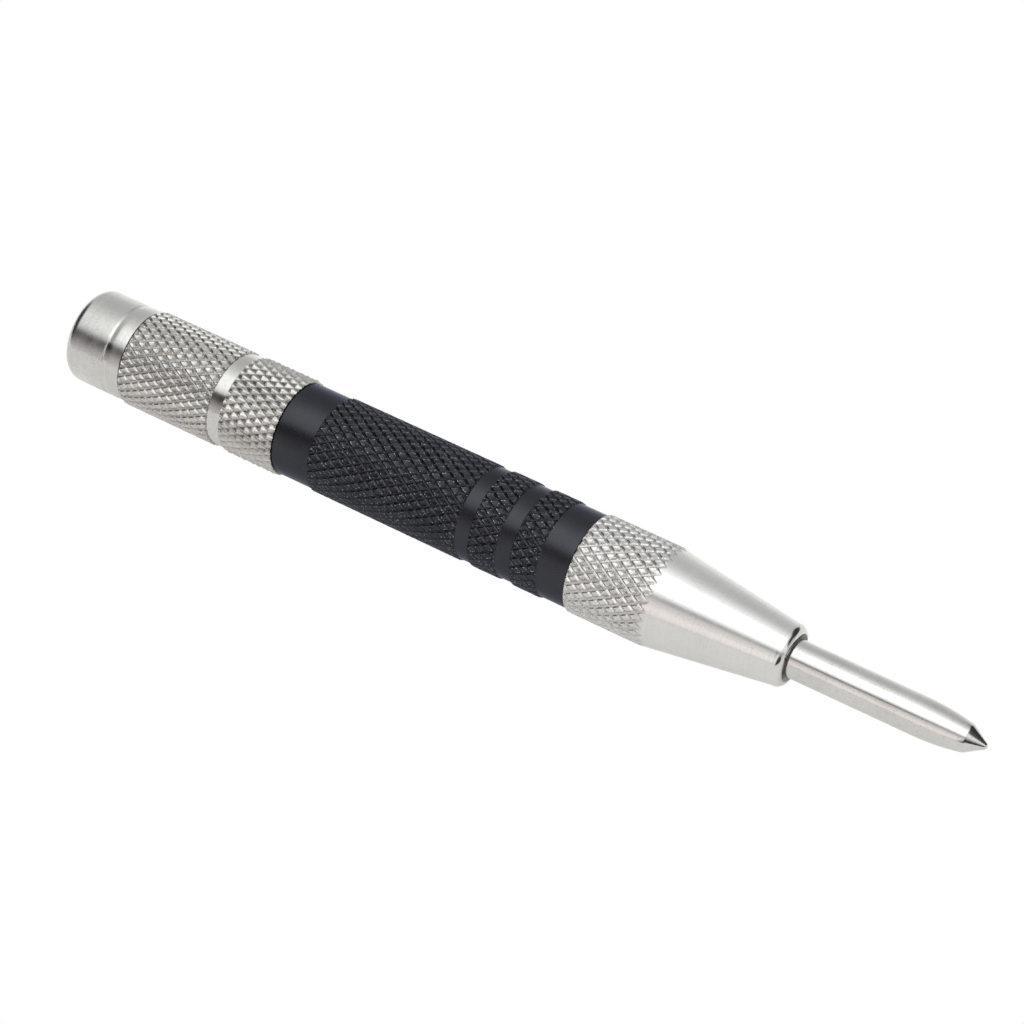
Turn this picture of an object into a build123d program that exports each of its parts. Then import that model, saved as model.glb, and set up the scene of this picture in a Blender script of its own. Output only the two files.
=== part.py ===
"""Automatic centre punch, lying on its side.

The tool's axis runs along X at the height of its widest knurl, and the tip points to +X.
Positions along the tool are stations: millimetres counted from the tip towards the rear cap.
Every turned piece is a closed outline of (station, radius) points revolved about the axis.
"""

import os
from math import asin, cos, degrees, pi, radians, sin, tan

from build123d import *

# ---- whole tool ----
LENGTH = 130.0
AXIS_HEIGHT = 6.58  # radius of the widest knurl, which the tool rests on
STROKE = 8.0  # travel of the point into the nose before the hammer is released
RUNNING_GAP = 0.06  # radial clearance of a running fit
THREAD_GAP = 0.05  # radial clearance between plain thread cylinders

# ---- seams between the outer pieces ----
FRONT_SEAM = 53.64  # nose meets barrel
REAR_SEAM = 96.96  # barrel meets rear cap

# ---- punch point ----
TIP_ROUND_R = 0.5
TIP_HALF_ANGLE = 32.7  # degrees between the axis and the cone's side
TIP_CONE_END = 2.4
OGIVE_END = 8.8
SHANK_R = 2.47
SHANK_END = 24.2  # end of the straight shank outside the nose
GUIDE_R = 2.50  # the part of the shank that runs in the nose
GUIDE_START = 24.9
FLANGE_R = 4.1
FLANGE_START = 34.0
FLANGE_END = 37.0
SOCKET_R = 1.75
SOCKET_BOTTOM = 34.4

# ---- nose ----
NOSE_FACE = 25.3
NOSE_RIM_R = 3.40
NOSE_EDGE = 25.9  # where the rounded front edge meets the cone
NOSE_EDGE_R = 3.97
NOSE_MOUTH_R = 2.95
CONE_END = 43.9
NOSE_KNURL_R = 6.48
NOSE_CHAMBER_R = 4.4
SPIGOT_FRONT = 45.6  # front end of the barrel's threaded spigot

# ---- barrel ----
BAND_R = 6.19
GRIP_KNURL_R = 6.41
KNURL_STEP = 0.12  # axial length of the small chamfer at each end of a knurl
GRIP_KNURLS = [(57.70, 61.50), (63.55, 67.50), (69.40, 91.50)]
SPIGOT_R = 5.3
RETURN_CHAMBER_R = 4.5
WEB_FRONT = 55.5
WEB_REAR = 60.0
WEB_CONE_R = 3.1
WEB_HOLE_R = 2.3
WEB_CONE_SLOPE = 0.5625
HAMMER_BORE_R = 4.35
BARREL_END = 112.0

# ---- trigger pin and its thimble ----
PIN_BALL_R = 1.65
PIN_BALL_AT = 36.1
PIN_R = 1.25
PIN_END = 59.9
PIN_OFFSET = 0.9  # how far the pin's rear end rests off the axis
PIN_TILT = degrees(asin(PIN_OFFSET / (PIN_END - PIN_BALL_AT)))
COLLAR_R = 4.0
COLLAR_FRONT = 41.5
COLLAR_REAR = 44.5
HUB_R = 2.7
THIMBLE_END = 49.1
THIMBLE_END_R = 2.1

# ---- return spring ----
RETURN_WIRE_R = 0.25
RETURN_SMALL_R = 3.45
RETURN_LARGE_R = 4.08
RETURN_TURNS = 5
RETURN_SEAT_GAP = 0.2  # room for the tilted collar

# ---- hammer ----
HAMMER_R = 4.25
HAMMER_LENGTH = 22.0
HAMMER_BORE_DEPTH = 6.0
STRIKE_BORE_R = 1.4
HAMMER_PILOT_R = 2.8
HAMMER_PILOT_LENGTH = 4.0
HAMMER_CHAMFER = 0.4

# ---- main spring ----
MAIN_WIRE_R = 0.6
MAIN_COIL_R = 3.62
MAIN_TURNS = 15
SPRING_END_GAP = 0.05

# ---- rear cap and spring seat ----
FRONT_CAP_KNURL_R = 6.58
REAR_CAP_KNURL_R = 6.50
CAP_BAND_R = 6.25
CAP_NECK_R = 6.07
CAP_GROOVE_R = 6.08
CAP_END_R = 6.26
CAP_FACE_R = 5.60
CAP_CHAMFER_START = 129.28
CAP_THREAD_END = 113.0
CAP_CAVITY_R = 4.95
CAP_FLOOR = 126.8
SEAT_R = 4.86
SEAT_FRONT = 124.6
SEAT_GAP = 0.1
SEAT_PILOT_R = 2.8
SEAT_PILOT_FRONT = 121.6


def along(station):
    """X of a station."""
    return LENGTH / 2 - station


def spot(point):
    """A (station, radius) pair as a point in the outline's plane."""
    return (along(point[0]), point[1])


def outline(*runs):
    """Closed edges through the runs. A run of three points marked "arc" is an arc."""
    edges = []
    last = None
    first = None
    for run in runs:
        is_arc = run[0] == "arc"
        points = [spot(p) for p in (run[1:] if is_arc else run)]
        if last is not None and last != points[0]:
            edges.append(Line(last, points[0]))
        if is_arc:
            edges.append(ThreePointArc(*points))
        else:
            edges += [Line(a, b) for a, b in zip(points, points[1:])]
        first = first or points[0]
        last = points[-1]
    if last != first:
        edges.append(Line(last, first))
    return edges


def turned(*runs):
    """Solid of revolution about the tool's axis."""
    face = make_face(outline(*runs))
    return Pos(0, 0, AXIS_HEIGHT) * revolve(face, Axis.X)


def tilted(solid):
    """Turns a piece about the ball of the trigger pin, rear end upwards."""
    pivot = Pos(along(PIN_BALL_AT), 0, AXIS_HEIGHT)
    return pivot * Rot(0, PIN_TILT, 0) * pivot.inverse() * solid


def ringed(start, end, crest, root):
    """Outline points of a raised band with a small chamfer at each end."""
    return [(start, root), (start + KNURL_STEP, crest), (end - KNURL_STEP, crest), (end, root)]


def coil(turns, pitch, radius, end_radius, wire):
    """A coil of round wire along +Z with its ends ground flat, standing on Z = 0."""
    height = turns * pitch
    cone = degrees((end_radius - radius) / height)
    path = Helix(pitch=pitch, height=height, radius=radius, cone_angle=cone)
    section = Plane(origin=path @ 0, z_dir=path % 0) * Circle(wire)
    body = sweep(section, path=path, is_frenet=True)
    slab = Pos(0, 0, height / 2) * Cylinder(end_radius * 2, height)
    return body & slab


def laid_along(solid, station):
    """Lays a piece built along +Z on the tool's axis, running rearwards from the station."""
    return Pos(along(station), 0, AXIS_HEIGHT) * Rot(0, -90, 0) * solid


def punch_point():
    """Hardened point: tip, ogive, shank, retaining flange and the socket for the pin."""
    lean = radians(TIP_HALF_ANGLE)
    tangent = (TIP_ROUND_R * (1 - sin(lean)), TIP_ROUND_R * cos(lean))
    mid = (TIP_ROUND_R * (1 - sin(lean / 2 + pi / 4)), TIP_ROUND_R * cos(lean / 2 + pi / 4))
    cone_r = tangent[1] + (TIP_CONE_END - tangent[0]) * tan(lean)
    middle = (TIP_CONE_END + OGIVE_END) / 2
    middle_r = SHANK_R - (SHANK_R - cone_r) / 4
    return turned(
        ("arc", (0, 0), mid, tangent),
        ("arc", (TIP_CONE_END, cone_r), (middle, middle_r), (OGIVE_END, SHANK_R)),
        [(SHANK_END, SHANK_R), (GUIDE_START, GUIDE_R), (FLANGE_START, GUIDE_R)],
        [(FLANGE_START, FLANGE_R - 0.3), (FLANGE_START + 0.3, FLANGE_R)],
        [(FLANGE_END - 0.3, FLANGE_R), (FLANGE_END, FLANGE_R - 0.3)],
        [(FLANGE_END, SOCKET_R), (SOCKET_BOTTOM, SOCKET_R), (SOCKET_BOTTOM, 0)],
    )


def nose():
    """Tapered front piece that guides the point and screws onto the barrel's front spigot."""
    edge_mid = (NOSE_FACE + 0.17, (NOSE_RIM_R + NOSE_EDGE_R) / 2 + 0.12)
    thread_r = SPIGOT_R + THREAD_GAP
    bore_r = GUIDE_R + RUNNING_GAP
    return turned(
        ("arc", (NOSE_FACE, NOSE_RIM_R), edge_mid, (NOSE_EDGE, NOSE_EDGE_R)),
        [(CONE_END, NOSE_KNURL_R), (FRONT_SEAM - 0.15, NOSE_KNURL_R)],
        [(FRONT_SEAM, NOSE_KNURL_R - 0.15), (FRONT_SEAM, thread_r)],
        [(SPIGOT_FRONT - 0.2, thread_r), (SPIGOT_FRONT - 0.2, NOSE_CHAMBER_R)],
        [(FLANGE_START, NOSE_CHAMBER_R), (FLANGE_START, bore_r)],
        [(NOSE_FACE + 0.6, bore_r), (NOSE_FACE + 0.15, NOSE_MOUTH_R), (NOSE_FACE, NOSE_MOUTH_R)],
    )


def barrel():
    """Knurled handle with a threaded spigot at each end and a web between its two bores."""
    outer = [(SPIGOT_FRONT, SPIGOT_R - 0.3), (SPIGOT_FRONT + 0.3, SPIGOT_R)]
    outer += [(FRONT_SEAM, SPIGOT_R), (FRONT_SEAM, BAND_R - 0.15), (FRONT_SEAM + 0.15, BAND_R)]
    for start, end in GRIP_KNURLS:
        outer += ringed(start, end, GRIP_KNURL_R, BAND_R)
    outer += [(REAR_SEAM - 0.15, BAND_R), (REAR_SEAM, BAND_R - 0.15), (REAR_SEAM, SPIGOT_R)]
    outer += [(BARREL_END - 0.3, SPIGOT_R), (BARREL_END, SPIGOT_R - 0.3)]
    cone_end = WEB_FRONT + (WEB_CONE_R - WEB_HOLE_R) / WEB_CONE_SLOPE
    inner = [(BARREL_END, HAMMER_BORE_R), (WEB_REAR, HAMMER_BORE_R), (WEB_REAR, WEB_HOLE_R)]
    inner += [(cone_end, WEB_HOLE_R), (WEB_FRONT, WEB_CONE_R)]
    inner += [(WEB_FRONT, RETURN_CHAMBER_R), (SPIGOT_FRONT, RETURN_CHAMBER_R)]
    return turned(outer, inner)


def trigger_pin():
    """Slim pin with a ball end in the point's socket and its rear end off the axis."""
    stem = turned(
        [(PIN_BALL_AT, 0), (PIN_BALL_AT, PIN_R), (PIN_END - 0.2, PIN_R), (PIN_END, PIN_R - 0.2)],
        [(PIN_END, 0)],
    )
    ball = Pos(along(PIN_BALL_AT), 0, AXIS_HEIGHT) * Sphere(PIN_BALL_R)
    return tilted(stem + ball)


def pin_thimble():
    """Collar pressed on the pin: seat of the return spring, with a cone that centres the pin."""
    cone_start = THIMBLE_END - (HUB_R - THIMBLE_END_R) / WEB_CONE_SLOPE
    body = turned(
        [(COLLAR_FRONT, PIN_R), (COLLAR_FRONT, COLLAR_R - 0.3), (COLLAR_FRONT + 0.3, COLLAR_R)],
        [(COLLAR_REAR, COLLAR_R), (COLLAR_REAR, HUB_R), (cone_start, HUB_R)],
        [(THIMBLE_END, THIMBLE_END_R), (THIMBLE_END, PIN_R)],
    )
    return tilted(body)


def return_spring():
    """Light tapered spring between the thimble's collar and the barrel's web."""
    start = COLLAR_REAR + RETURN_SEAT_GAP
    pitch = (WEB_FRONT - SPRING_END_GAP - start) / RETURN_TURNS
    body = coil(RETURN_TURNS, pitch, RETURN_SMALL_R, RETURN_LARGE_R, RETURN_WIRE_R)
    return laid_along(body, start)


def hammer():
    """Steel block with the strike bore in front and a pilot for the main spring behind."""
    front = WEB_REAR
    rear = front + HAMMER_LENGTH
    tail = rear + HAMMER_PILOT_LENGTH
    return turned(
        [(front, STRIKE_BORE_R), (front, HAMMER_R - HAMMER_CHAMFER)],
        [(front + HAMMER_CHAMFER, HAMMER_R), (rear - HAMMER_CHAMFER, HAMMER_R)],
        [(rear, HAMMER_R - HAMMER_CHAMFER), (rear, HAMMER_PILOT_R)],
        [(tail - HAMMER_CHAMFER, HAMMER_PILOT_R), (tail, HAMMER_PILOT_R - HAMMER_CHAMFER)],
        [(tail, 0), (front + HAMMER_BORE_DEPTH, 0), (front + HAMMER_BORE_DEPTH, STRIKE_BORE_R)],
    )


def main_spring():
    """Strong spring between the hammer and the spring seat."""
    start = WEB_REAR + HAMMER_LENGTH + SPRING_END_GAP
    pitch = (SEAT_FRONT - SPRING_END_GAP - start) / MAIN_TURNS
    return laid_along(coil(MAIN_TURNS, pitch, MAIN_COIL_R, MAIN_COIL_R, MAIN_WIRE_R), start)


def spring_seat():
    """Disc that carries the main spring's rear end, so the cap can turn without winding it."""
    rear = CAP_FLOOR - SEAT_GAP
    return turned(
        [(SEAT_PILOT_FRONT, 0), (SEAT_PILOT_FRONT, SEAT_PILOT_R - 0.4)],
        [(SEAT_PILOT_FRONT + 0.4, SEAT_PILOT_R), (SEAT_FRONT, SEAT_PILOT_R)],
        [(SEAT_FRONT, SEAT_R - 0.2), (SEAT_FRONT + 0.2, SEAT_R)],
        [(rear - 0.2, SEAT_R), (rear, SEAT_R - 0.2), (rear, 0)],
    )


def rear_cap():
    """Adjusting cap with two knurls, screwed over the barrel's rear spigot."""
    outer = [(REAR_SEAM, FRONT_CAP_KNURL_R - 0.15), (REAR_SEAM + 0.15, FRONT_CAP_KNURL_R)]
    outer += [(105.05, FRONT_CAP_KNURL_R), (105.2, CAP_BAND_R), (106.9, CAP_BAND_R)]
    outer += [(107.05, REAR_CAP_KNURL_R), (120.8, REAR_CAP_KNURL_R), (121.2, 6.35)]
    outer += [(121.3, CAP_NECK_R), (122.2, CAP_NECK_R), (122.3, CAP_END_R), (123.2, CAP_END_R)]
    outer += [(123.3, CAP_GROOVE_R), (123.85, CAP_GROOVE_R), (123.95, CAP_END_R)]
    outer += [(CAP_CHAMFER_START, CAP_END_R), (LENGTH, CAP_FACE_R), (LENGTH, 0)]
    thread_r = SPIGOT_R + RUNNING_GAP
    inner = [(CAP_FLOOR, 0), (CAP_FLOOR, CAP_CAVITY_R), (CAP_THREAD_END, CAP_CAVITY_R)]
    inner += [(CAP_THREAD_END, thread_r), (REAR_SEAM, thread_r)]
    return turned(outer, inner)


PIECES = [
    punch_point,
    nose,
    barrel,
    trigger_pin,
    pin_thimble,
    return_spring,
    hammer,
    main_spring,
    spring_seat,
    rear_cap,
]

os.makedirs("parts", exist_ok=True)
for piece in PIECES:
    solid = piece()
    export_step(solid, f"parts/{piece.__name__}.step")
    box = solid.bounding_box()
    print(piece.__name__, "volume", round(solid.volume, 2), "solids", len(solid.solids()), box)
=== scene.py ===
"""Automatic centre punch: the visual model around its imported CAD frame.

Stations are millimetres along the axis from the tip towards the rear cap. An angle of 0 is the
top of the tool, and 90 degrees is its +Y side.
"""

import bmesh
import bpy
import numpy as np
from mathutils import Matrix, Vector


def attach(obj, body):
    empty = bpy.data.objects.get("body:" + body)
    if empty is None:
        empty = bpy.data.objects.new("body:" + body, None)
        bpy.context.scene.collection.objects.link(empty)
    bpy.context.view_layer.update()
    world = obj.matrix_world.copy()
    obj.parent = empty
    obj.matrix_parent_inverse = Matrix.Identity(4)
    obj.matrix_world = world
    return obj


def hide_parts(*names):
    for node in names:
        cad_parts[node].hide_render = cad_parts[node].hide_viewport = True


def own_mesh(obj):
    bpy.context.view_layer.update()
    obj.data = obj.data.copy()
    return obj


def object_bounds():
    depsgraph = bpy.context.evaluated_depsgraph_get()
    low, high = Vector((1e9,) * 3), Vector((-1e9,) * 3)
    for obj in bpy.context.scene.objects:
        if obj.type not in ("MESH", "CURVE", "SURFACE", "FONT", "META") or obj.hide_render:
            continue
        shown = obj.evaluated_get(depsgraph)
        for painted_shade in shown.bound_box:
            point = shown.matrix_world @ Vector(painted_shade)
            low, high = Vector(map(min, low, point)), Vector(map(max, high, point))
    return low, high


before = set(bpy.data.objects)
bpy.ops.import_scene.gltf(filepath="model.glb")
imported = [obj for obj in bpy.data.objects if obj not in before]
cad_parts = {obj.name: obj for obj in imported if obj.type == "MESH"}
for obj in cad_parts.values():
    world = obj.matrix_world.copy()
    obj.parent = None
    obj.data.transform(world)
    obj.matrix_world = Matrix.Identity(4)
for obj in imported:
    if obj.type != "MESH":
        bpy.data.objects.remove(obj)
cad_low, cad_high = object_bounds()

MM = 0.001
WELD = 5e-7  # vertices nearer than this are one, in metres
TURN = 2 * np.pi
TIP_X = cad_high.x
AXIS_Z = 0.00658

# ---- stations and outer radii, as in the CAD ----
FRONT_SEAM = 53.64  # between nose and barrel
REAR_SEAM = 96.96  # between barrel and rear cap
BARREL_END = 112.0  # of the spigot inside the rear cap
LENGTH = 130.0
SHANK_R = 2.47
NOSE_R = 6.48
BAND_R = 6.19  # the barrel's smooth bands
GRIP_R = 6.41
CAP_FRONT_R = 6.58
CAP_REAR_R = 6.50
CAP_BAND_R = 6.25
CAP_FLOOR = 126.8  # where the hollow of the rear cap ends
GRIP_KNURLS = [(57.70, 61.50), (63.55, 67.50), (69.40, 91.50)]
CONE_START, CONE_START_R = 25.9, 3.97  # where the nose's front edge meets its cone in the CAD
CONE_END = 43.9  # where the cone reaches the knurl's radius
SEAM_CHAMFER_R = 6.04  # the barrel's radius at both seams

# ---- columns of vertices round a plain surface ----
COARSE, MEDIUM, FINE = 96, 128, 360

# ---- knurling: axial distance between grooves of one hand, and grooves of one hand ----
CAP_PITCH, CAP_STARTS = 2.245, 34
NOSE_PITCH, NOSE_STARTS = 2.19, 32
GRIP_PITCH, GRIP_STARTS = 2.155, 32

# ---- the "crest" value of a vertex: 0 at the bottom of a groove, 1 on the top of a diamond ----
PLAIN_METAL = 0.5
RUBBED = 0.88  # the ends of a knurl, worn smooth
SHADED = -0.25  # inside the nose
PAINTED_SHADOW = -0.5  # painted shadow, nearly black: the relief behind the cap's knurl, in the knurl's shade


def wobble(s, angle, scale, seed):
    """Smooth repeatable unevenness, from -1 to 1, that joins up all the way round."""
    count, usual_r = 7, 6.3
    total = np.zeros(np.broadcast(s, angle).shape)
    rng = np.random.default_rng(seed)
    for _ in range(count):
        waves = int(rng.integers(1, max(2, int(usual_r * scale))))
        slope = rng.uniform(-1, 1) * scale
        total = total + np.sin(waves * angle + slope * s + rng.uniform(0, TURN))
    return total / count


def placed(s, angle, r):
    """Points in Blender's frame from stations, angles and radii."""
    return np.stack([TIP_X - s * MM, r * MM * np.sin(angle), AXIS_Z + r * MM * np.cos(angle)], -1)


def linked(name, data):
    obj = bpy.data.objects.new(name, data)
    bpy.context.scene.collection.objects.link(obj)
    return obj


class Shell:
    """A turned piece: rings of vertices and the faces between them, closed into one surface."""

    def __init__(self):
        self.s, self.angle, self.r = [], [], []
        self.shade, self.satin = [], []
        self.faces = []
        self.finish = 0.0  # how satin the next vertices are, from 0, bright, to 1
        self.tone = PLAIN_METAL  # the crest value of the next plain rings

    def add(self, s, angle, r, shade=PLAIN_METAL):
        """Adds vertices from arrays and returns their indices."""
        s, angle, r, shade = np.broadcast_arrays(s, angle, r, shade)
        first = len(self.s)
        self.s.extend(s.tolist())
        self.angle.extend((angle % TURN).tolist())
        self.r.extend(r.tolist())
        self.shade.extend(shade.tolist())
        self.satin.extend([self.finish] * s.size)
        return np.arange(first, first + s.size)

    def zip_rings(self, a, b):
        """Joins two rings, sorted by angle, that may hold different numbers of vertices."""
        if len(a) == len(b):
            following = np.roll(np.arange(len(a)), -1)
            self.faces += [(a[i], a[j], b[j], b[i]) for i, j in enumerate(following)]
            return
        aa = [self.angle[i] for i in a] + [self.angle[a[0]] + TURN]
        bb = [self.angle[i] for i in b] + [self.angle[b[0]] + TURN]
        i = j = 0
        while i < len(a) or j < len(b):
            p, q = a[i % len(a)], b[j % len(b)]
            if j >= len(b) or (i < len(a) and aa[i + 1] <= bb[j + 1]):
                self.faces.append((p, a[(i + 1) % len(a)], q))
                i += 1
            else:
                self.faces.append((p, b[(j + 1) % len(b)], q))
                j += 1

    def run(self, ring, outline, columns=None):
        """Continues from a ring through the outline's (station, radius) points."""
        for s, r in outline:
            if columns:
                angles = np.arange(columns) * TURN / columns
            else:
                angles = np.array([self.angle[i] for i in ring])
            following = self.add(s, angles, r, self.tone)
            if ring is not None:
                self.zip_rings(ring, following)
            ring, columns = following, None
        return ring

    def pole(self, ring, s):
        """Closes a ring at the axis."""
        tip = self.add(np.array([s]), 0.0, 0.0)[0]
        self.faces += [(a, b, tip) for a, b in zip(ring, np.roll(ring, -1))]

    def knurl(self, ring, pitch, starts, cuts, steps, radius):
        """Adds crossing helical grooves between the first and the last cut.

        cuts are the stations that have a line of vertices; steps are the places across a groove of
        each hand, in shares of the distance between grooves; radius(s, angle, p, q) gives the
        height, where p and q count the grooves of each hand. Returns the last ring.
        """
        edges_p, edges_q = (sorted(set(x) | {1 - y for y in x}) for x in steps)
        slabs = [c / pitch for c in cuts]
        low, high = slabs[0], slabs[-1]
        found, us, vs = {}, [], []
        places = 20000  # to a pitch: points that round to the same place are one vertex

        def vertex(u, v):
            v = v % starts
            key = (round(u * places), round(v * places) % (starts * places))
            if key not in found:
                found[key] = len(us)
                us.append(u)
                vs.append(v)
            return found[key]

        def clipped(poly, level, side):
            """The part of a polygon above a level of u, where side is 1, or below it, where -1."""
            out = []
            for (u0, v0), (u1, v1) in zip(poly, poly[1:] + poly[:1]):
                in0, in1 = ((u - level) * side >= -1e-9 for u in (u0, u1))
                if in0:
                    out.append((u0, v0))
                if in0 != in1 and abs(u1 - u0) > 1e-12:
                    t = (level - u0) / (u1 - u0)
                    out.append((level, v0 + t * (v1 - v0)))
            return out

        def cut_up(p0, q0):
            """The polygons of one diamond: a patch between steps of each hand, cut at the slabs."""
            for pa, pb in zip(edges_p, edges_p[1:]):
                for qa, qb in zip(edges_q, edges_q[1:]):
                    corners = ((pa, qa), (pb, qa), (pb, qb), (pa, qb))
                    corners = [(p0 + p, q0 + q) for p, q in corners]
                    quad = [((p + q) / 2, (p - q) / 2) for p, q in corners]
                    bottom, top = quad[0][0], quad[2][0]
                    for c0, c1 in zip(slabs, slabs[1:]):
                        if bottom >= c1 or top <= c0:
                            continue
                        poly = quad
                        if bottom < c0:
                            poly = clipped(poly, c0, 1)
                        if top > c1:
                            poly = clipped(poly, c1, -1)
                        if len(poly) > 2:
                            yield poly

        first = len(self.s)
        for sum_cell in range(int(2 * low) - 2, int(2 * high) + 3):
            for cell in range(starts):
                # counted so that each diamond is met once round the tool
                p0 = cell + (sum_cell + 1) // 2
                q0 = sum_cell // 2 - cell
                for poly in cut_up(p0, q0):
                    ids = [vertex(u, v) for u, v in poly]
                    ids = [a for a, b in zip(ids, ids[1:] + ids[:1]) if a != b]
                    if len(ids) > 2:
                        self.faces.append(tuple(first + i for i in ids))
        u, v = np.array(us), np.array(vs)
        s, angle = u * pitch, v * TURN / starts
        r, shade = radius(s, angle, u + v, u - v)
        ids = self.add(s, angle, r, shade)
        angles = np.array(self.angle)
        front, back = (ids[np.abs(s - cut) < 1e-4] for cut in (cuts[0], cuts[-1]))
        self.zip_rings(ring, front[np.argsort(angles[front])])
        return back[np.argsort(angles[back])]

    def build(self, name, body, material, nodes, sharp=32):
        """Makes the Blender object; edges sharper than that many degrees stay sharp."""
        points = placed(np.array(self.s), np.array(self.angle), np.array(self.r))
        mesh = bpy.data.meshes.new(name)
        mesh.from_pydata(points.tolist(), [], [tuple(int(i) for i in f) for f in self.faces])
        for key, values in (("crest", self.shade), ("satin", self.satin)):
            attribute = mesh.attributes.new(key, "FLOAT", "POINT")
            attribute.data.foreach_set("value", np.array(values, np.float32))
        bm = bmesh.new()
        bm.from_mesh(mesh)
        bmesh.ops.remove_doubles(bm, verts=bm.verts, dist=WELD)
        bmesh.ops.recalc_face_normals(bm, faces=bm.faces)
        bm.to_mesh(mesh)
        bm.free()
        mesh.polygons.foreach_set("use_smooth", [True] * len(mesh.polygons))
        mesh.set_sharp_from_angle(angle=np.radians(sharp))
        obj = linked(name, mesh)
        mesh.materials.append(material)
        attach(obj, body)
        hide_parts(*nodes)


def rounded(points, fillets, steps):
    """The outline with the corners named in fillets replaced by curves that start so far off."""
    out = []
    for i, p in enumerate(points):
        if i not in fillets:
            out.append(p)
            continue
        p, a, b = np.array(p), np.array(points[i - 1]), np.array(points[i + 1])
        start = p + (a - p) / np.linalg.norm(a - p) * fillets[i]
        end = p + (b - p) / np.linalg.norm(b - p) * fillets[i]
        for t in np.linspace(0, 1, steps + 1):
            out.append(tuple((1 - t) ** 2 * start + 2 * t * (1 - t) * p + t * t * end))
    return out


def arc(a, mid, b, steps):
    """Points of the circle through three (station, radius) points, the first left out."""
    (ax, ay), (bx, by), (cx, cy) = a, mid, b
    d = 2 * (ax * (by - cy) + bx * (cy - ay) + cx * (ay - by))
    aa, bb, cc = ax**2 + ay**2, bx**2 + by**2, cx**2 + cy**2
    ux = (aa * (by - cy) + bb * (cy - ay) + cc * (ay - by)) / d
    uy = (aa * (cx - bx) + bb * (ax - cx) + cc * (bx - ax)) / d
    radius = np.hypot(ax - ux, ay - uy)
    start, between, end = (np.arctan2(y - uy, x - ux) for x, y in (a, mid, b))
    turn = (end - start) % TURN
    if (between - start) % TURN > turn:
        turn -= TURN
    return [
        (ux + radius * np.cos(t), uy + radius * np.sin(t))
        for t in np.linspace(start, start + turn, steps + 1)[1:]
    ]


def from_line(x):
    """Distance to the nearest groove, in shares of the distance between grooves."""
    return np.abs(x - np.round(x))


def groove_depth(d, table):
    return np.interp(d, [t[0] for t in table], [t[1] for t in table])


def diamonds(crest_r, depth, tables, seed, edge, uneven, first=1.0, dish=0.0, limit=None):
    """The height of a knurl, as Shell.knurl takes it.

    tables holds the section of the p and of the q grooves, and the deeper of the two counts.
    uneven is how far the crests vary, in millimetres, first is the depth of the p grooves beside
    the q ones, and dish is how deep the middle of a diamond lies, both in shares of the depth.
    edge(s) is the radius to which the knurl's ends are rubbed, and limit(s) that of a cone that
    cuts it off.
    """

    def radius(s, angle, p, q):
        dp, dq = from_line(p), from_line(q)
        share = np.maximum(first * groove_depth(dp, tables[0]), groove_depth(dq, tables[1]))
        # a rolled diamond is dished: the metal pressed out of the grooves stands up as a rim
        pan = np.minimum(groove_depth(dp, PAN), groove_depth(dq, PAN))
        share = np.maximum(share, dish * pan)
        # each groove is cut a little differently from the next
        vary = 1 + 0.10 * wobble(s, angle, 5.0, seed + 2)
        lean = 0.012 * (wobble(s, angle, 2.0, seed) + wobble(s, angle, 2.0, seed + 1))
        worn = uneven * (1 + wobble(s, angle, 9.0, seed + 3))
        r = crest_r - depth * share * (vary - lean) - worn * (1 - share)
        shade = np.where(r > edge(s), RUBBED, 1 - share)
        r = np.minimum(r, edge(s))
        if limit is not None:
            shade = np.where(r > limit(s), PLAIN_METAL, shade)
            r = np.minimum(r, limit(s))
        return r, shade

    return radius


# ---- grooves: (distance from the middle, depth), in shares of pitch and depth; the STEPS are
# where a groove has lines of vertices. CHANNEL is flat-bottomed, and PAN is the dish ----
PYRAMID = [(0, 1.0), (0.03, 0.96), (0.44, 0.10), (0.5, 0.03)]
PYRAMID_STEPS = [0, 0.03, 0.16, 0.30, 0.44, 0.5]
CHANNEL = [(0, 1.0), (0.11, 0.94), (0.24, 0.0), (0.5, 0.0)]
CHANNEL_STEPS = [0, 0.11, 0.24, 0.36, 0.5]
NARROW = [(0, 1.0), (0.04, 0.90), (0.19, 0.0), (0.5, 0.0)]
NARROW_STEPS = [0, 0.04, 0.11, 0.19, 0.36, 0.5]
SLIT = [(0, 1.0), (0.05, 0.88), (0.17, 0.0), (0.5, 0.0)]
SLIT_STEPS = [0, 0.05, 0.17, 0.34, 0.5]
PAN = [(0, 0.0), (0.20, 0.0), (0.36, 1.0), (0.5, 1.0)]


# ---------------------------------------------------------------- node materials
def nodes_of(name):
    material = bpy.data.materials.new(name)
    material.use_nodes = True
    tree = material.node_tree
    tree.nodes.clear()
    return material, tree


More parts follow.
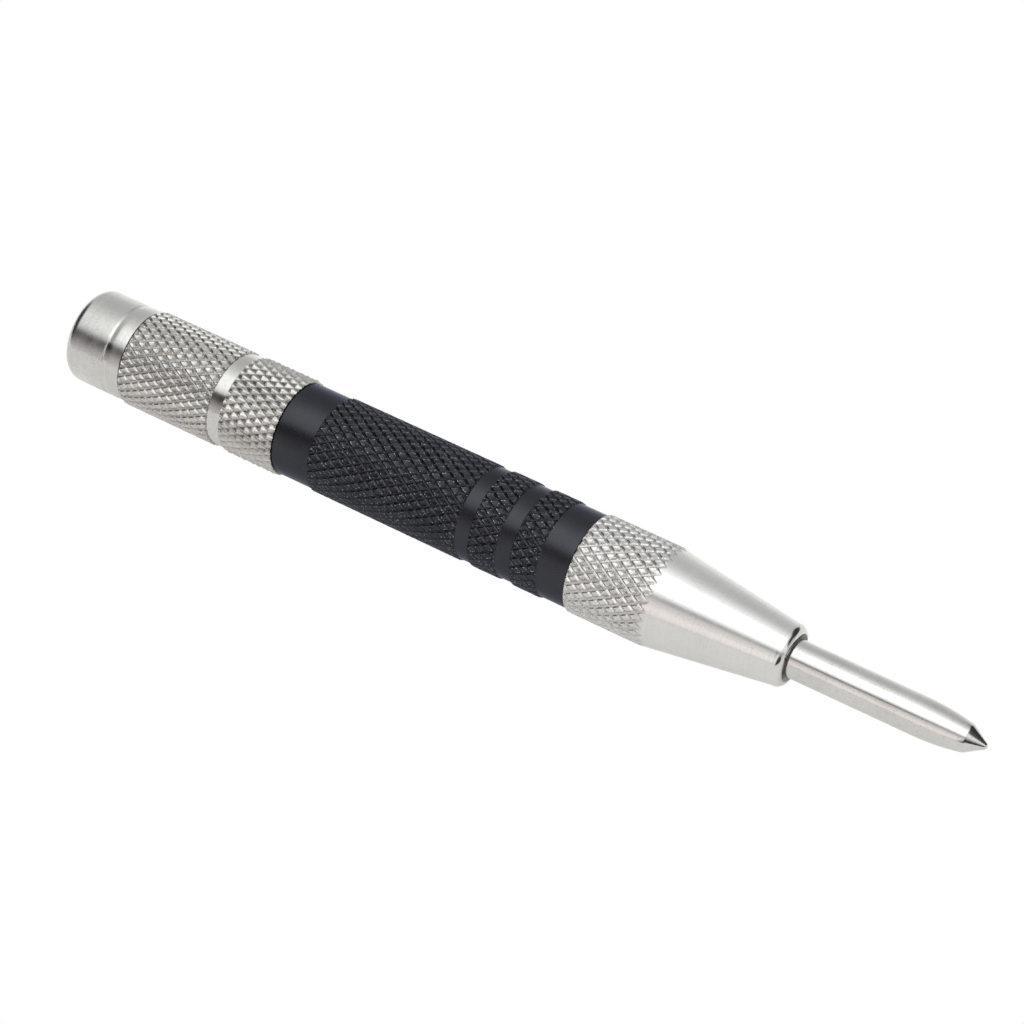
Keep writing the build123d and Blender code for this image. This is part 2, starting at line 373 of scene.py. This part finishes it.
class Maker:
    """Short ways to add and join shader nodes."""

    def __init__(self, tree):
        self.tree = tree

    def put(self, kind, inputs=None, **settings):
        node = self.tree.nodes.new(kind)
        for key, value in settings.items():
            setattr(node, key, value)
        for key, value in (inputs or {}).items():
            if isinstance(value, bpy.types.NodeSocket):
                self.tree.links.new(value, node.inputs[key])
            else:
                node.inputs[key].default_value = value
        return node

    def math(self, operation, a, b=0.0, clamp=False):
        node = self.put("ShaderNodeMath", {0: a, 1: b}, operation=operation, use_clamp=clamp)
        return node.outputs[0]

    def remap(self, value, low, high, to_low, to_high, smooth=False):
        inputs = {
            "Value": value, "From Min": low, "From Max": high, "To Min": to_low, "To Max": to_high
        }
        kind = "SMOOTHSTEP" if smooth else "LINEAR"
        return self.put("ShaderNodeMapRange", inputs, interpolation_type=kind).outputs[0]

    def vector_math(self, operation, a, b):
        return self.put("ShaderNodeVectorMath", {0: a, 1: b}, operation=operation).outputs

    def mix(self, factor, a, b, blend="MIX"):
        node = self.put("ShaderNodeMix", {"Factor": factor}, data_type="RGBA", blend_type=blend)
        for socket, value in (("A_Color", a), ("B_Color", b)):
            target = next(i for i in node.inputs if i.identifier == socket)
            if isinstance(value, bpy.types.NodeSocket):
                self.tree.links.new(value, target)
            else:
                target.default_value = value
        return next(o for o in node.outputs if o.identifier == "Result_Color")

    def noise(self, vector, scale, detail, roughness, dimensions="3D"):
        """Noise with a scale in features per metre."""
        inputs = {"Scale": scale, "Detail": detail, "Roughness": roughness}
        inputs["W" if dimensions == "1D" else "Vector"] = vector
        return self.put("ShaderNodeTexNoise", inputs, noise_dimensions=dimensions).outputs[0]

    def attribute(self, name):
        return self.put("ShaderNodeAttribute", attribute_name=name).outputs["Fac"]

    def place(self):
        """The point on the piece, and its place along the tool."""
        point = self.put("ShaderNodeTexCoord").outputs["Object"]
        return point, self.put("ShaderNodeSeparateXYZ", {0: point}).outputs[0]

    def rolled(self, crest):
        """0 on plain metal, whose crest value is exact, and 1 on a knurl or in a corner of painted
        shade.
        """
        off = self.math("ABSOLUTE", self.math("SUBTRACT", crest, PLAIN_METAL))
        return self.math("GREATER_THAN", off, 0.0005)

    def output(self, shader, kind="Material"):
        out = self.put("ShaderNodeOutput" + kind)
        self.tree.links.new(shader.outputs[0], out.inputs[0])

    def metallic(self, base, rough, height):
        """The metal shader that every material of the tool ends in."""
        bump = self.put("ShaderNodeBump", {"Strength": 0.5, "Distance": 0.00003, "Height": height})
        inputs = {"Base Color": base, "Roughness": rough, "Normal": bump.outputs[0]}
        shader = self.put("ShaderNodeBsdfPrincipled", inputs)
        shader.inputs["Metallic"].default_value = 1.0
        self.output(shader)
        return shader


def scaled(colour, red, green, blue):
    return (colour[0] * red, colour[1] * green, colour[2] * blue, 1)


def metal(name, colour, dull, roughness, turned=0.25, spots=0.5, dirt=None, lines=0.5):
    """Turned metal: fine rings from the tool and pitting, and, where dirt is given, dull stained
    grooves and painted shade in dark corners.

    turned is the height of the rings and lines their strength in the colour, spots is the strength
    of the pits, and dirt that of the brown in a knurl's grooves.
    """
    material, tree = nodes_of(name)
    m = Maker(tree)
    place, along = m.place()
    rings = m.noise(along, 3200.0, 4.0, 0.7, "1D")
    broad = m.noise(along, 900.0, 2.0, 0.5, "1D")
    pits = m.noise(place, 5200.0, 2.0, 0.6)
    cloud = m.noise(place, 260.0, 3.0, 0.55)
    stain = m.noise(place, 1100.0, 3.0, 0.6)
    crest = m.attribute("crest")

    base = m.mix(m.remap(cloud, 0.35, 0.65, 0.0, 1.0), dull, colour)
    line = m.remap(rings, 0.32, 0.68, 0.86, 1.10)
    line = m.put("ShaderNodeCombineXYZ", {0: line, 1: line, 2: line}).outputs[0]
    base = m.mix(lines, base, m.vector_math("MULTIPLY", base, line)[0])
    speck = m.remap(pits, 0.30, 0.44, spots, 0.0)
    base = m.mix(speck, base, scaled(dull, 0.55, 0.55, 0.55))
    rough = m.remap(broad, 0.3, 0.7, roughness * 0.85, roughness * 1.15)
    rough = m.math("ADD", rough, m.remap(stain, 0.4, 0.7, 0.0, 0.05))
    rough = m.math("ADD", rough, m.math("MULTIPLY", m.attribute("satin"), 0.12))
    height = m.math("MULTIPLY", rings, turned)
    height = m.math("ADD", height, m.math("MULTIPLY", pits, 0.5 * spots))

    if dirt is not None:
        # dull in the grooves, with brown stains in patches, and painted shade towards near black:
        # fully in the relief behind the cap's knurl, about halfway inside the nose, a little at a
        # groove's bottom
        worn = m.remap(crest, 0.0, 0.55, 0.0, 1.0)
        brown = m.remap(stain, 0.45, 0.62, 0.0, dirt)
        clean, dirty = scaled(dull, 0.91, 0.905, 0.895), scaled(dull, 0.66, 0.60, 0.54)
        base = m.mix(worn, m.mix(brown, clean, dirty), base)
        # painted shade: darker towards near black as the crest value falls below a groove's bottom
        painted_shade = m.remap(crest, PAINTED_SHADOW, 0.1, 0.9, 0.0)
        base = m.mix(painted_shade, base, (0.05, 0.045, 0.042, 1))
        # the rolling leaves the metal torn and rough
        rolled = m.rolled(crest)
        torn = m.noise(place, 3000.0, 3.0, 0.65)
        tear = m.math("MULTIPLY", m.math("MULTIPLY", torn, rolled), 3.6)
        height = m.math("ADD", height, tear)
        rougher = m.remap(crest, 0.0, 1.0, 0.22, 0.11)
        rough = m.math("ADD", rough, m.math("MULTIPLY", rolled, rougher))
        matt = m.remap(torn, 0.35, 0.65, 0.0, 1.0)
        matt = m.mix(matt, (0.86, 0.855, 0.845, 1), (1.0, 1.0, 1.0, 1))
        base = m.mix(rolled, base, m.mix(1.0, base, matt, "MULTIPLY"))
    m.metallic(base, rough, height)
    return material


def black_oxide(name):
    """Blackened steel: a dark, slightly blue oxide, rubbed brighter along the knurl's edges, with
    painted shade in its grooves.
    """
    material, tree = nodes_of(name)
    m = Maker(tree)
    place, along = m.place()
    rings = m.noise(along, 7000.0, 2.0, 0.5, "1D")
    grain = m.noise(place, 4200.0, 3.0, 0.6)
    chips = m.noise(place, 4300.0, 3.0, 0.65)
    cloud = m.noise(place, 300.0, 3.0, 0.55)
    crest = m.attribute("crest")
    knurled = m.rolled(crest)
    thin, thick = (0.036, 0.0375, 0.044, 1), (0.029, 0.0302, 0.036, 1)
    # a near black for the painted shade in the knurl, and bare steel where it is rubbed
    shade_black, bare = (0.012, 0.012, 0.014, 1), (0.27, 0.275, 0.29, 1)

    base = m.mix(m.remap(cloud, 0.3, 0.7, 0.0, 1.0), thick, thin)
    # painted shade: darker towards the bottom of each groove, and the knurls a quarter of the way
    # to this near black all over
    base = m.mix(m.remap(crest, 0.0, 0.6, 0.45, 0.0), base, shade_black)
    base = m.mix(m.math("MULTIPLY", knurled, 0.25), base, shade_black)
    edge = m.remap(crest, 0.78, 0.90, 0.0, 0.8)
    rubbed = m.math("MULTIPLY", edge, m.remap(chips, 0.57, 0.63, 0.0, 1.0))
    base = m.mix(m.math("MULTIPLY", rubbed, knurled), base, bare)
    rough = m.remap(grain, 0.3, 0.7, 0.24, 0.34)
    height = m.math("ADD", m.math("MULTIPLY", rings, 0.2), m.math("MULTIPLY", grain, 0.5))
    chipped = m.math("MULTIPLY", m.math("MULTIPLY", chips, knurled), 0.7)
    shader = m.metallic(base, rough, m.math("ADD", height, chipped))
    shader.inputs["Specular Tint"].default_value = (0.62, 0.64, 0.70, 1)
    return material


# ---- name, colour, duller colour, roughness ----
NICKEL = metal("nickel_plate", (0.430, 0.430, 0.422, 1), (0.400, 0.399, 0.391, 1), 0.12, dirt=0.9)
TAPER = metal(
    "taper_nickel", (0.470, 0.472, 0.468, 1), (0.448, 0.449, 0.443, 1), 0.125,
    turned=0.10, spots=0.3, dirt=0.25, lines=0.2,
)
HARD = metal(
    "hardened_steel", (0.435, 0.434, 0.428, 1), (0.400, 0.397, 0.389, 1), 0.09,
    turned=0.12, lines=0.2,
)
PLAIN = metal("plain_steel", (0.40, 0.39, 0.37, 1), (0.33, 0.32, 0.30, 1), 0.32, turned=0.4)
WIRE = metal("spring_wire", (0.30, 0.29, 0.28, 1), (0.22, 0.21, 0.20, 1), 0.30, turned=0.1)
OXIDE = black_oxide("black_oxide")


# ---------------------------------------------------------------- rear cap
def make_cap():
    shell = Shell()
    bore_r, thread_r = 4.95, 5.36
    centre = shell.run(None, [(CAP_FLOOR, bore_r)], COARSE)
    ring = shell.run(centre, [(113.0, bore_r), (113.0, thread_r), (REAR_SEAM, thread_r)])

    chamfer = REAR_SEAM + 0.15

    def front_edge(s):
        return np.interp(s, [REAR_SEAM, chamfer, REAR_SEAM + 0.22], [6.40, 6.54, 6.60])

    height = diamonds(CAP_FRONT_R, 0.33, (PYRAMID, PYRAMID), 11, edge=front_edge, uneven=0.008)
    cuts = [REAR_SEAM, chamfer, 104.98, 105.08]
    steps = (PYRAMID_STEPS, PYRAMID_STEPS)
    ring = shell.knurl(ring, CAP_PITCH, CAP_STARTS, cuts, steps, height)
    ring = shell.run(ring, [(s, CAP_BAND_R) for s in (105.12, 105.16, 106.90, 106.97)])

    cuts = [107.0, 107.12, 120.92, 121.0]

    def rear_edge(s):
        return np.interp(s, cuts, [6.42, 6.52, 6.52, 6.36])

    shell.finish = 0.15
    height = diamonds(
        CAP_REAR_R, 0.20, (CHANNEL, NARROW), 23, edge=rear_edge, uneven=0.014, dish=0.24
    )
    steps = (CHANNEL_STEPS, NARROW_STEPS)
    ring = shell.knurl(ring, CAP_PITCH, CAP_STARTS, cuts, steps, height)
    # a narrow relief behind the knurl, a satin band, a polished groove and the satin end
    relief = [(121.01, 6.02), (121.17, 6.02), (121.19, 6.16), (121.20, 6.18), (121.26, 6.22)]
    front = [(121.6, 6.23), (122.6, 6.25), (122.98, 6.255), (123.06, 6.250)]
    groove = [(123.20, 6.238), (123.40, 6.221), (123.56, 6.208), (123.66, 6.201), (123.78, 6.20)]
    groove += [(123.82, 6.207), (123.87, 6.23), (123.90, 6.252), (123.94, 6.26)]
    end = [(124.1, 6.26), (129.28, 6.26), (LENGTH, 5.60), (LENGTH, 1.5)]
    end = rounded(end, {1: 0.55, 2: 0.40}, 9)
    # the relief's floor takes the crest value that paints it nearly black, a painted shadow of the
    # knurl
    shell.tone, shell.finish = PAINTED_SHADOW, 0.0
    ring = shell.run(ring, relief[:3])
    shell.tone = PLAIN_METAL
    for finish, part in ((0.3, relief[3:]), (0.8, front), (0.0, groove), (1.0, end)):
        shell.finish = finish
        ring = shell.run(ring, part)
    shell.pole(ring, LENGTH)
    shell.pole(centre, CAP_FLOOR)
    shell.build("rear_cap_shell", "cap", NICKEL, ["rear_cap"])


# ---------------------------------------------------------------- barrel
def thread(shell, ring, start, end, crest_r, depth):
    """An outside thread of 1 mm pitch whose rows of vertices follow the helix."""
    columns, rows = COARSE, 7  # in a turn, and in a pitch
    flat, flank = 0.12, 0.76  # shares of half the pitch
    fade_length = 0.5  # at each end, where the thread comes up to its full height
    runout = 0.3  # how far below its crest it starts and ends
    angles = np.arange(columns) * TURN / columns
    count = int((end - start) * rows) + rows + 1
    grid = []
    for row in range(count + 1):
        s = np.clip(start + row / rows - angles / TURN, start, end)
        phase = (row / rows) % 1
        cut = np.clip((np.abs(phase - 0.5) * 2 - flat) / flank, 0, 1)
        fade = np.clip(np.minimum(s - start, end - s) / fade_length, 0, 1)
        r = crest_r - depth * (1 - cut) * fade - runout * (1 - fade)
        grid.append(shell.add(s, angles, r))
    for row in range(1, count + 1):
        low, high = grid[row - 1], grid[row]
        shell.faces += [(low[i], low[i + 1], high[i + 1], high[i]) for i in range(columns - 1)]
        # the last column meets the first one a whole turn of rows earlier
        near, far = grid[max(row - 1 - rows, 0)][0], grid[max(row - rows, 0)][0]
        shell.faces.append((low[-1], near, far, high[-1]))
    shell.zip_rings(ring, grid[0])
    return grid[-1]


def make_barrel():
    shell = Shell()
    chamber_r, web_r, spigot_r = 4.35, 2.3, 5.3
    first = shell.run(None, [(BARREL_END, chamber_r)], COARSE)
    web = [(60.0, chamber_r), (60.0, web_r), (56.92, web_r), (55.5, 3.1), (55.5, 4.5)]
    front_spigot = [(45.6, 4.5), (45.6, 5.0), (45.9, spigot_r), (FRONT_SEAM, spigot_r)]
    ring = shell.run(first, web + front_spigot)

    ring = shell.run(ring, [(FRONT_SEAM, SEAM_CHAMFER_R)], FINE)
    ring = shell.run(ring, [(53.66, 6.09), (53.79, BAND_R), (55.0, BAND_R), (56.4, BAND_R)])
    bevel, gap = 0.12, 0.02
    for number, (start, end) in enumerate(GRIP_KNURLS):
        ring = shell.run(ring, [(start - gap, BAND_R)])
        cuts = [start, start + bevel, end - bevel, end]

        def edge(s, cuts=cuts):
            return np.interp(s, cuts, [BAND_R, 6.43, 6.43, BAND_R])

        seed = 40 + 5 * number
        height = diamonds(
            GRIP_R, 0.16, (SLIT, SLIT), seed, edge=edge, uneven=0.020, first=0.95, dish=0.35
        )
        steps = (SLIT_STEPS, SLIT_STEPS)
        ring = shell.knurl(ring, GRIP_PITCH, GRIP_STARTS, cuts, steps, height)
        ring = shell.run(ring, [(end + gap, BAND_R)])
    rear_band = [(94.0, BAND_R), (96.81, BAND_R), (96.93, 6.09), (REAR_SEAM, SEAM_CHAMFER_R)]
    ring = shell.run(ring, rear_band)

    neck_r = 5.0
    ring = shell.run(ring, [(REAR_SEAM, neck_r)], COARSE)
    ring = shell.run(ring, [(97.6, neck_r)])
    ring = thread(shell, ring, 97.7, 111.95, spigot_r, 0.45)
    ring = shell.run(ring, [(BARREL_END, 4.95)])
    shell.zip_rings(ring, first)
    shell.build("barrel_shell", "housing", OXIDE, ["barrel"])


# ---------------------------------------------------------------- nose
def cone_r(s):
    return CONE_START_R + (s - CONE_START) * (NOSE_R - CONE_START_R) / (CONE_END - CONE_START)


def make_nose():
    shell = Shell()
    thread_r, chamber_r, bore_r = 5.35, 4.4, 2.56
    first = shell.run(None, [(FRONT_SEAM, thread_r)], MEDIUM)
    shell.tone = SHADED
    ring = shell.run(first, [(45.4, thread_r), (45.4, chamber_r), (34.0, chamber_r)])
    ring = shell.run(ring, [(34.0, bore_r), (25.9, bore_r), (25.40, 3.06), (25.33, 3.12)])
    shell.tone = PLAIN_METAL
    face, rim_end = 25.30, 26.45
    front = [(25.305, 3.15), (face, 3.18), (face, 3.22)]
    front += arc((face, 3.26), (25.63, 3.80), (rim_end, cone_r(rim_end)), 14)
    ring = shell.run(ring, front)
    ring = shell.run(ring, [(s, cone_r(s)) for s in (26.6, 29.0, 32.0, 35.0, 38.0, 41.0)])

    chamfer = 53.49

    def edge(s):
        return np.interp(s, [53.35, chamfer, FRONT_SEAM], [6.5, 6.47, 6.33])

    shell.finish = 0.3
    height = diamonds(
        NOSE_R, 0.18, (CHANNEL, NARROW), 71,
        edge=edge, uneven=0.010, first=0.9, dish=0.30, limit=cone_r,
    )
    # cut closely up to the cone's end, because there the cone cuts the diamonds off
    run_out = [42.1, 42.4, 42.65, 42.9, 43.15, 43.4, 43.65, CONE_END]
    cuts = run_out + [chamfer, FRONT_SEAM]
    steps = (CHANNEL_STEPS, NARROW_STEPS)
    ring = shell.knurl(ring, NOSE_PITCH, NOSE_STARTS, cuts, steps, height)
    shell.zip_rings(ring, first)
    shell.build("nose_shell", "housing", TAPER, ["nose"])


# ---------------------------------------------------------------- punch point
def make_point():
    ball_r, lean = 0.5, np.radians(32.7)  # the rounded tip, and the cone's half angle
    cone_end, ogive_end = 2.4, 8.8
    flange, flange_end, flange_r, bevel = 34.0, 37.0, 4.1, 0.3
    socket, socket_r = 34.4, 1.75
    guide_r = 2.50  # the part of the shank inside the nose

    def ball(t):
        return ball_r * (1 - np.sin(t)), ball_r * np.cos(t)

    def tip_cone_r(s):
        start, start_r = ball(lean)
        return start_r + (s - start) * np.tan(lean)

    outline = [ball(t) for t in np.linspace(np.pi / 2 - 0.25, lean, 7)]
    # fine grinding rings on the cone
    for number, s in enumerate(np.arange(0.36, 2.30, 0.09)):
        outline.append((s, tip_cone_r(s) - 0.006 * (number % 2)))
    # a fine groove where the cone ends, and the ogive from there to the shank
    end_r = tip_cone_r(cone_end)
    outline += [(2.33, end_r - 0.05), (2.39, end_r - 0.018), (2.47, end_r + 0.002)]
    middle = ((cone_end + ogive_end) / 2, SHANK_R - (SHANK_R - end_r) / 4)
    outline += arc((cone_end, end_r), middle, (ogive_end, SHANK_R), 16)
    outline += [(14.0, SHANK_R), (19.0, SHANK_R), (24.2, SHANK_R)]
    outline += [(24.9, guide_r), (flange, guide_r), (flange, flange_r - bevel)]
    outline += [(flange + bevel, flange_r), (flange_end - bevel, flange_r)]
    outline += [(flange_end, flange_r - bevel), (flange_end, socket_r), (socket, socket_r)]
    shell = Shell()
    first = shell.run(None, outline[:1], MEDIUM)
    ring = shell.run(first, outline[1:])
    shell.pole(first, 0.0)
    shell.pole(ring, socket)
    shell.build("point_shell", "point", HARD, ["punch_point"], sharp=16)


# ---------------------------------------------------------------- springs
def make_spring(name, body, node, start, end, turns, radius, end_radius, wire):
    """A coil of round wire whose ends are ground flat."""
    sides, per_turn = 12, 40
    steps = np.arange(-per_turn // 2, turns * per_turn + per_turn // 2 + 1)
    share = steps / (turns * per_turn)
    angle = steps * TURN / per_turn
    centre_r = radius + (end_radius - radius) * np.clip(share, 0, 1)
    centre_s = start + share * (end - start)
    round_wire = np.arange(sides) * TURN / sides
    r = centre_r[:, None] + wire * np.cos(round_wire)[None, :]
    s = np.clip(centre_s[:, None] + wire * np.sin(round_wire)[None, :], start, end)
    turn = np.broadcast_to(angle[:, None], r.shape)
    # the coil ends where a tenth of the wire's radius is left by the grinding
    over = wire * 0.9
    keep = (centre_s > start - over) & (centre_s < end + over)
    points = placed(s[keep], turn[keep], r[keep])
    rows = [range(i * sides, (i + 1) * sides) for i in range(len(points))]
    faces = [
        (low[j], low[(j + 1) % sides], high[(j + 1) % sides], high[j])
        for low, high in zip(rows, rows[1:])
        for j in range(sides)
    ]
    faces += [tuple(rows[0]), tuple(reversed(rows[-1]))]
    mesh = bpy.data.meshes.new(name)
    mesh.from_pydata(points.reshape(-1, 3).tolist(), [], faces)
    mesh.polygons.foreach_set("use_smooth", [True] * len(mesh.polygons))
    obj = linked(name, mesh)
    mesh.materials.append(WIRE)
    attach(obj, body)
    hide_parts(node)
    return obj


make_cap()
make_barrel()
make_nose()
make_point()
# ---- stations of its ends, turns, radius at each end, and radius of the wire ----
light_spring = make_spring(
    "return_coil", "housing", "return_spring", 44.70, 55.45, 5, 3.45, 4.08, 0.25
)
strong_spring = make_spring(
    "main_coil", "seat", "main_spring", 82.05, 124.55, 15, 3.62, 3.62, 0.6
)
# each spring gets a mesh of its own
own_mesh(light_spring)
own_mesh(strong_spring)

for node, material in (
    ("trigger_pin", HARD),
    ("pin_thimble", PLAIN),
    ("hammer", PLAIN),
    ("spring_seat", PLAIN),
):
    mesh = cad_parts[node].data
    mesh.materials.clear()
    mesh.materials.append(material)


# ---------------------------------------------------------------- floor, light and camera
def make_floor():
    mesh = bpy.data.meshes.new("floor")
    half = 3.0  # in metres
    corners = [(-half, -half, 0), (half, -half, 0), (half, half, 0), (-half, half, 0)]
    mesh.from_pydata(corners, [], [(0, 1, 2, 3)])
    obj = linked("floor", mesh)
    material, tree = nodes_of("pale_floor")
    m = Maker(tree)
    # the camera sees it white, as in the photograph, and the tool mirrors it as it is
    diffuse = m.put("ShaderNodeBsdfDiffuse", {"Color": (0.72, 0.715, 0.70, 1)})
    glow = m.put("ShaderNodeEmission", {"Color": (1.0, 0.985, 0.97, 1), "Strength": 0.44})
    lit = m.put("ShaderNodeAddShader", {0: diffuse.outputs[0], 1: glow.outputs[0]})
    white = m.put("ShaderNodeEmission", {"Color": (1.0, 1.0, 1.0, 1), "Strength": 1.0})
    seen = m.put("ShaderNodeLightPath").outputs["Is Camera Ray"]
    m.output(m.put("ShaderNodeMixShader", {0: seen, 1: lit.outputs[0], 2: white.outputs[0]}))
    mesh.materials.append(material)


# ---- brightness against the elevation seen across the tool, in degrees from its -Y side, where
# all above 1 is the soft box ----
SOFT_BOX = [
    (0, 1.30),
    (8, 1.75),
    (18, 1.80),
    (27, 1.50),
    (35, 1.32),
    (47, 1.30),
    (51, 1.65),
    (55, 2.15),
    (59, 2.50),
    (64, 2.95),
    (90, 2.95),
    (99, 2.30),
    (106, 1.87),
    (114, 1.56),
    (122, 1.27),
    (130, 1.09),
    (138, 1.00),
    (153, 1.00),
    (169, 1.13),
    (180, 1.20),
]
# ---- dark spots around the tool: azimuth, elevation, inner and outer angle, and strength ----
DARK_SPOTS = [
    (20, 32, 5, 22, 0.92),
    (58, 22, 18, 32, 0.92),
    (-55, 3, 21, 31, 0.94),
    (-175, 18, 22, 40, 0.97),
]


def make_studio():
    """A white studio: a large soft box overhead, a dark gap under it and dark spots around."""
    world = bpy.data.worlds.new("studio")
    bpy.context.scene.world = world
    world.use_nodes = True
    tree = world.node_tree
    tree.nodes.clear()
    m = Maker(tree)
    look = m.put("ShaderNodeTexCoord").outputs["Generated"]
    along, sideways, up = m.put("ShaderNodeSeparateXYZ", {0: look}).outputs

    def spot(azimuth, elevation, inner, outer):
        """1 within the inner angle of a direction, 0 beyond the outer one."""
        a, e = np.radians(azimuth), np.radians(elevation)
        target = {0: np.cos(a) * np.cos(e), 1: np.sin(a) * np.cos(e), 2: np.sin(e)}
        target = m.put("ShaderNodeCombineXYZ", target).outputs[0]
        facing = m.vector_math("DOT_PRODUCT", look, target)["Value"]
        inner, outer = np.cos(np.radians((inner, outer)))
        return m.remap(facing, outer, inner, 0.0, 1.0, True)

    def dimmed(level, share):
        return m.math("MULTIPLY", level, m.math("SUBTRACT", 1.0, share))

    # elevation seen across the tool, by Y and Z only, because its highlights run along it
    across = m.math("ARCTAN2", up, m.math("MULTIPLY", sideways, -1.0))
    across = m.math("MULTIPLY", across, 180 / np.pi)
    top = 4.0  # a curve holds values up to 1
    curve = m.put("ShaderNodeFloatCurve", {"Value": m.remap(across, 0.0, 180.0, 0.0, 1.0)})
    line = curve.mapping.curves[0]
    line.points[0].location = (0.0, SOFT_BOX[0][1] / top)
    line.points[1].location = (1.0, SOFT_BOX[-1][1] / top)
    for degrees, level in SOFT_BOX[1:-1]:
        line.points.new(degrees / 180, level / top)
    for p in line.points:
        p.handle_type = "VECTOR"
    curve.mapping.update()
    level = m.math("MULTIPLY", curve.outputs[0], top)
    # the soft box fades towards both ends of the tool
    box_end = m.remap(along, -0.66, -0.30, 0.25, 1.0, True)
    box_end = m.math("MULTIPLY", box_end, m.remap(along, 0.25, 0.55, 1.0, 0.35, True))
    over = m.math("MAXIMUM", m.math("SUBTRACT", level, 1.0), 0.0)
    under = m.math("MINIMUM", level, 1.0)
    level = m.math("ADD", under, m.math("MULTIPLY", over, box_end))
    # a dark gap under the soft box, thin towards the tip and wide towards the cap
    middle = 43.0
    reach = m.remap(along, -0.40, -0.28, 52.0, 8.0)
    below = m.math("DIVIDE", m.math("SUBTRACT", middle, across), reach)
    above = m.math("DIVIDE", m.math("SUBTRACT", across, middle), 7.0)
    gap = m.math("SUBTRACT", 1.0, m.math("MAXIMUM", below, above))
    gap = m.math("MULTIPLY", gap, 1.25, True)
    level = dimmed(level, m.math("MULTIPLY", gap, m.remap(along, -0.5, -0.1, 0.95, 0.38)))
    for *where, strength in DARK_SPOTS:
        level = dimmed(level, m.math("MULTIPLY", spot(*where), strength))
    warm = spot(-96, 8, 10, 45)
    colour = m.mix(warm, (1, 1, 0.985, 1), (1, 0.935, 0.915, 1))
    seen = m.put("ShaderNodeLightPath").outputs["Is Camera Ray"]
    studio = m.put("ShaderNodeBackground", {"Color": colour, "Strength": level})
    plain = m.put("ShaderNodeBackground", {"Color": (1, 1, 1, 1), "Strength": 1.0})
    both = m.put("ShaderNodeMixShader", {0: seen, 1: studio.outputs[0], 2: plain.outputs[0]})
    m.output(both, "World")


def make_camera():
    """The photograph's view, as fitted to the tool's outline."""
    data = bpy.data.cameras.new("camera")
    data.lens = 109.0
    data.sensor_width = 36.0
    data.clip_start = 0.01
    data.clip_end = 20.0
    camera = linked("camera", data)
    right = Vector((0.8417, 0.5400, 0.0)).normalized()
    forward = Vector((-0.3756, 0.5855, -0.7184)).normalized()
    up = right.cross(forward)
    turn = Matrix((right, up, -forward)).transposed().to_4x4()
    place = Vector((TIP_X + 0.07740, -0.22189, AXIS_Z + 0.27493))
    camera.matrix_world = Matrix.Translation(place) @ turn
    bpy.context.scene.camera = camera


make_floor()
make_studio()
make_camera()
bpy.context.scene.view_settings.view_transform = "Standard"
bpy.context.scene.view_settings.look = "None"
